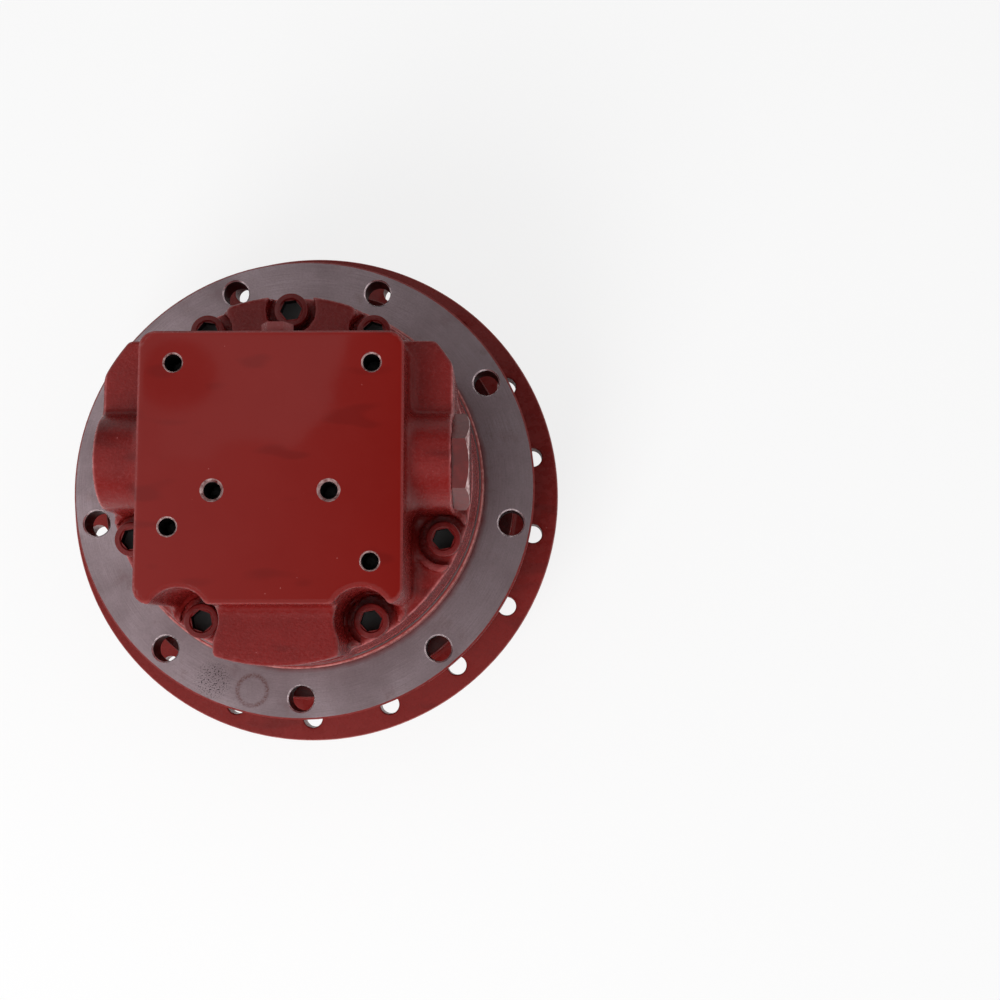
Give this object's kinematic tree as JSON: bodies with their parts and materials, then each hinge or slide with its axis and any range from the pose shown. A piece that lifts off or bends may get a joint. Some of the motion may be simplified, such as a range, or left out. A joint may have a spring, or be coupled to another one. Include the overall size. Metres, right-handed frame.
{
  "type": "excavator final drive",
  "caption": "Track drive of a small excavator: swash-plate hydraulic motor with parking brake on a two-stage planetary gearbox, with a turning hub that carries the sprocket.",
  "frame": {"origin": "centre of the end cover's foot, on the drive's axis, at the height of the surface it stands on", "axes": "+Z along the drive's axis from the end cover to the motor's flat face; +X towards the spool's hex plug; the main ports face -Y"},
  "size_m": [0.286, 0.286, 0.26],
  "materials": {
    "red_paint": "satin red paint over machined and cast iron",
    "machined_case": "bare turned face with light oil stains",
    "gear_steel": "ground case-hardened steel",
    "bearing_steel": "ground and polished bearing steel",
    "seal_iron": "lapped white iron",
    "rubber": "black nitrile rubber",
    "bronze": "turned bearing bronze",
    "motor_steel": "ground steel",
    "spring_steel": "oil-tempered spring steel",
    "friction_lining": "sintered bronze lining"
  },
  "bodies": {
    "housing": {"motor_case": "machined_case", "bearing_nut": "bearing_steel", "lower_bearing_cone": "bearing_steel", "upper_bearing_cone": "bearing_steel", "upper_seal_ring": "seal_iron", "upper_seal_toric": "rubber", "second_planet_pins": "bearing_steel", "second_planet_bushes": "bronze", "shaft_bearing_outer_ring": "bearing_steel", "shaft_seal": "rubber", "shaft_rear_bush": "bronze", "cradle_bearings": "bronze", "separator_plates": "motor_steel", "brake_spring": "spring_steel", "valve_plate": "bronze", "port_block": "red_paint", "port_block_screws": "red_paint", "spool_spring_left": "spring_steel", "spool_spring_right": "spring_steel", "right_spool_plug": "red_paint", "left_spool_plug": "red_paint", "gauge_plug": "red_paint"},
    "hub": {"hub_case": "red_paint", "ring_gear": "red_paint", "end_cover": "red_paint", "end_cover_screws": "red_paint", "oil_plugs": "red_paint", "thrust_plate": "bronze", "lower_bearing_cup": "bearing_steel", "upper_bearing_cup": "bearing_steel", "lower_seal_ring": "seal_iron", "lower_seal_toric": "rubber"},
    "main_rollers": {"lower_bearing_rollers": "bearing_steel", "upper_bearing_rollers": "bearing_steel"},
    "carrier": {"first_carrier": "gear_steel", "first_planet_pins": "bearing_steel", "first_planet_bushes": "bronze", "second_sun_gear": "gear_steel"},
    "rotor": {"first_sun_gear": "gear_steel", "motor_shaft": "motor_steel", "shaft_bearing_inner_ring": "bearing_steel", "cylinder_block": "motor_steel", "pistons": "motor_steel", "retainer_ball": "motor_steel", "block_spring": "spring_steel", "friction_plates": "friction_lining"},
    "shaft_rollers": {"shaft_bearing_rollers": "bearing_steel"},
    "swash": {"swash_plate": "motor_steel"},
    "shoes": {"piston_shoes": "bronze", "shoe_retainer": "motor_steel"},
    "two_speed_piston": {"speed_piston": "motor_steel"},
    "parking_brake": {"brake_piston": "motor_steel"},
    "spool": {"main_spool": "motor_steel"},
    "first_planet_body_a": {"first_planet_a": "gear_steel"},
    "first_planet_body_b": {"first_planet_b": "gear_steel"},
    "first_planet_body_c": {"first_planet_c": "gear_steel"},
    "second_planet_body_a": {"second_planet_a": "gear_steel"},
    "second_planet_body_b": {"second_planet_b": "gear_steel"},
    "second_planet_body_c": {"second_planet_c": "gear_steel"}
  },
  "joints": [
    {"name": "hub_spin", "type": "hinge", "parent": "housing", "child": "hub", "pos_m": [0, 0, 0], "axis": [0, 0, 1], "continuous": true},
    {"name": "main_roller_spin", "type": "hinge", "parent": "housing", "child": "main_rollers", "pos_m": [0, 0, 0], "axis": [0, 0, 1], "continuous": true},
    {"name": "carrier_spin", "type": "hinge", "parent": "housing", "child": "carrier", "pos_m": [0, 0, 0], "axis": [0, 0, 1], "continuous": true},
    {"name": "first_planet_spin_a", "type": "hinge", "parent": "carrier", "child": "first_planet_body_a", "pos_m": [0.04287, 0.02475, 0.029], "axis": [0, 0, 1], "continuous": true},
    {"name": "first_planet_spin_b", "type": "hinge", "parent": "carrier", "child": "first_planet_body_b", "pos_m": [-0.04287, 0.02475, 0.029], "axis": [0, 0, 1], "continuous": true},
    {"name": "first_planet_spin_c", "type": "hinge", "parent": "carrier", "child": "first_planet_body_c", "pos_m": [0, -0.0495, 0.029], "axis": [0, 0, 1], "continuous": true},
    {"name": "second_planet_spin_a", "type": "hinge", "parent": "housing", "child": "second_planet_body_a", "pos_m": [0, 0.054, 0.053], "axis": [0, 0, 1], "continuous": true},
    {"name": "second_planet_spin_b", "type": "hinge", "parent": "housing", "child": "second_planet_body_b", "pos_m": [-0.04677, -0.027, 0.053], "axis": [0, 0, 1], "continuous": true},
    {"name": "second_planet_spin_c", "type": "hinge", "parent": "housing", "child": "second_planet_body_c", "pos_m": [0.04677, -0.027, 0.053], "axis": [0, 0, 1], "continuous": true},
    {"name": "rotor_spin", "type": "hinge", "parent": "housing", "child": "rotor", "pos_m": [0, 0, 0], "axis": [0, 0, 1], "continuous": true, "deforming": ["pistons"]},
    {"name": "shaft_roller_spin", "type": "hinge", "parent": "housing", "child": "shaft_rollers", "pos_m": [0, 0, 0], "axis": [0, 0, 1], "continuous": true},
    {"name": "swash_tilt", "type": "hinge", "parent": "housing", "child": "swash", "pos_m": [0, 0, 0.1165], "axis": [0, 1, 0], "range_deg": [-6, 0], "stiffness_Nm_per_rad": 2, "springref_deg": 5.73},
    {"name": "shoe_spin", "type": "hinge", "parent": "swash", "child": "shoes", "pos_m": [0, 0, 0.1165], "axis": [0.2588, 0, 0.9659], "continuous": true},
    {"name": "two_speed_slide", "type": "slide", "parent": "housing", "child": "two_speed_piston", "axis": [0, 0, 1], "range_m": [0, 0.0038]},
    {"name": "brake_release", "type": "slide", "parent": "housing", "child": "parking_brake", "axis": [0, 0, 1], "range_m": [0, 0.0015], "stiffness_N_per_m": 20000, "springref_m": -0.001, "deforming": ["brake_spring"]},
    {"name": "spool_slide", "type": "slide", "parent": "housing", "child": "spool", "axis": [1, 0, 0], "range_m": [-0.005, 0.005], "stiffness_N_per_m": 4000, "deforming": ["spool_spring_left", "spool_spring_right"]}
  ],
  "couplings": [
    {"joint": "main_roller_spin", "follows": "hub_spin", "ratio": 0.53553},
    {"joint": "carrier_spin", "follows": "hub_spin", "ratio": -3.8},
    {"joint": "first_planet_spin_a", "follows": "hub_spin", "ratio": 11.4},
    {"joint": "first_planet_spin_b", "follows": "hub_spin", "ratio": 11.4},
    {"joint": "first_planet_spin_c", "follows": "hub_spin", "ratio": 11.4},
    {"joint": "second_planet_spin_a", "follows": "hub_spin", "ratio": 2.7143},
    {"joint": "second_planet_spin_b", "follows": "hub_spin", "ratio": 2.7143},
    {"joint": "second_planet_spin_c", "follows": "hub_spin", "ratio": 2.7143},
    {"joint": "rotor_spin", "follows": "hub_spin", "ratio": -34.2},
    {"joint": "shaft_roller_spin", "follows": "hub_spin", "ratio": -15.146},
    {"joint": "shoe_spin", "follows": "hub_spin", "ratio": -34.2},
    {"joint": "two_speed_slide", "follows": "swash_tilt", "m_per_rad": -0.0353}
  ]
}
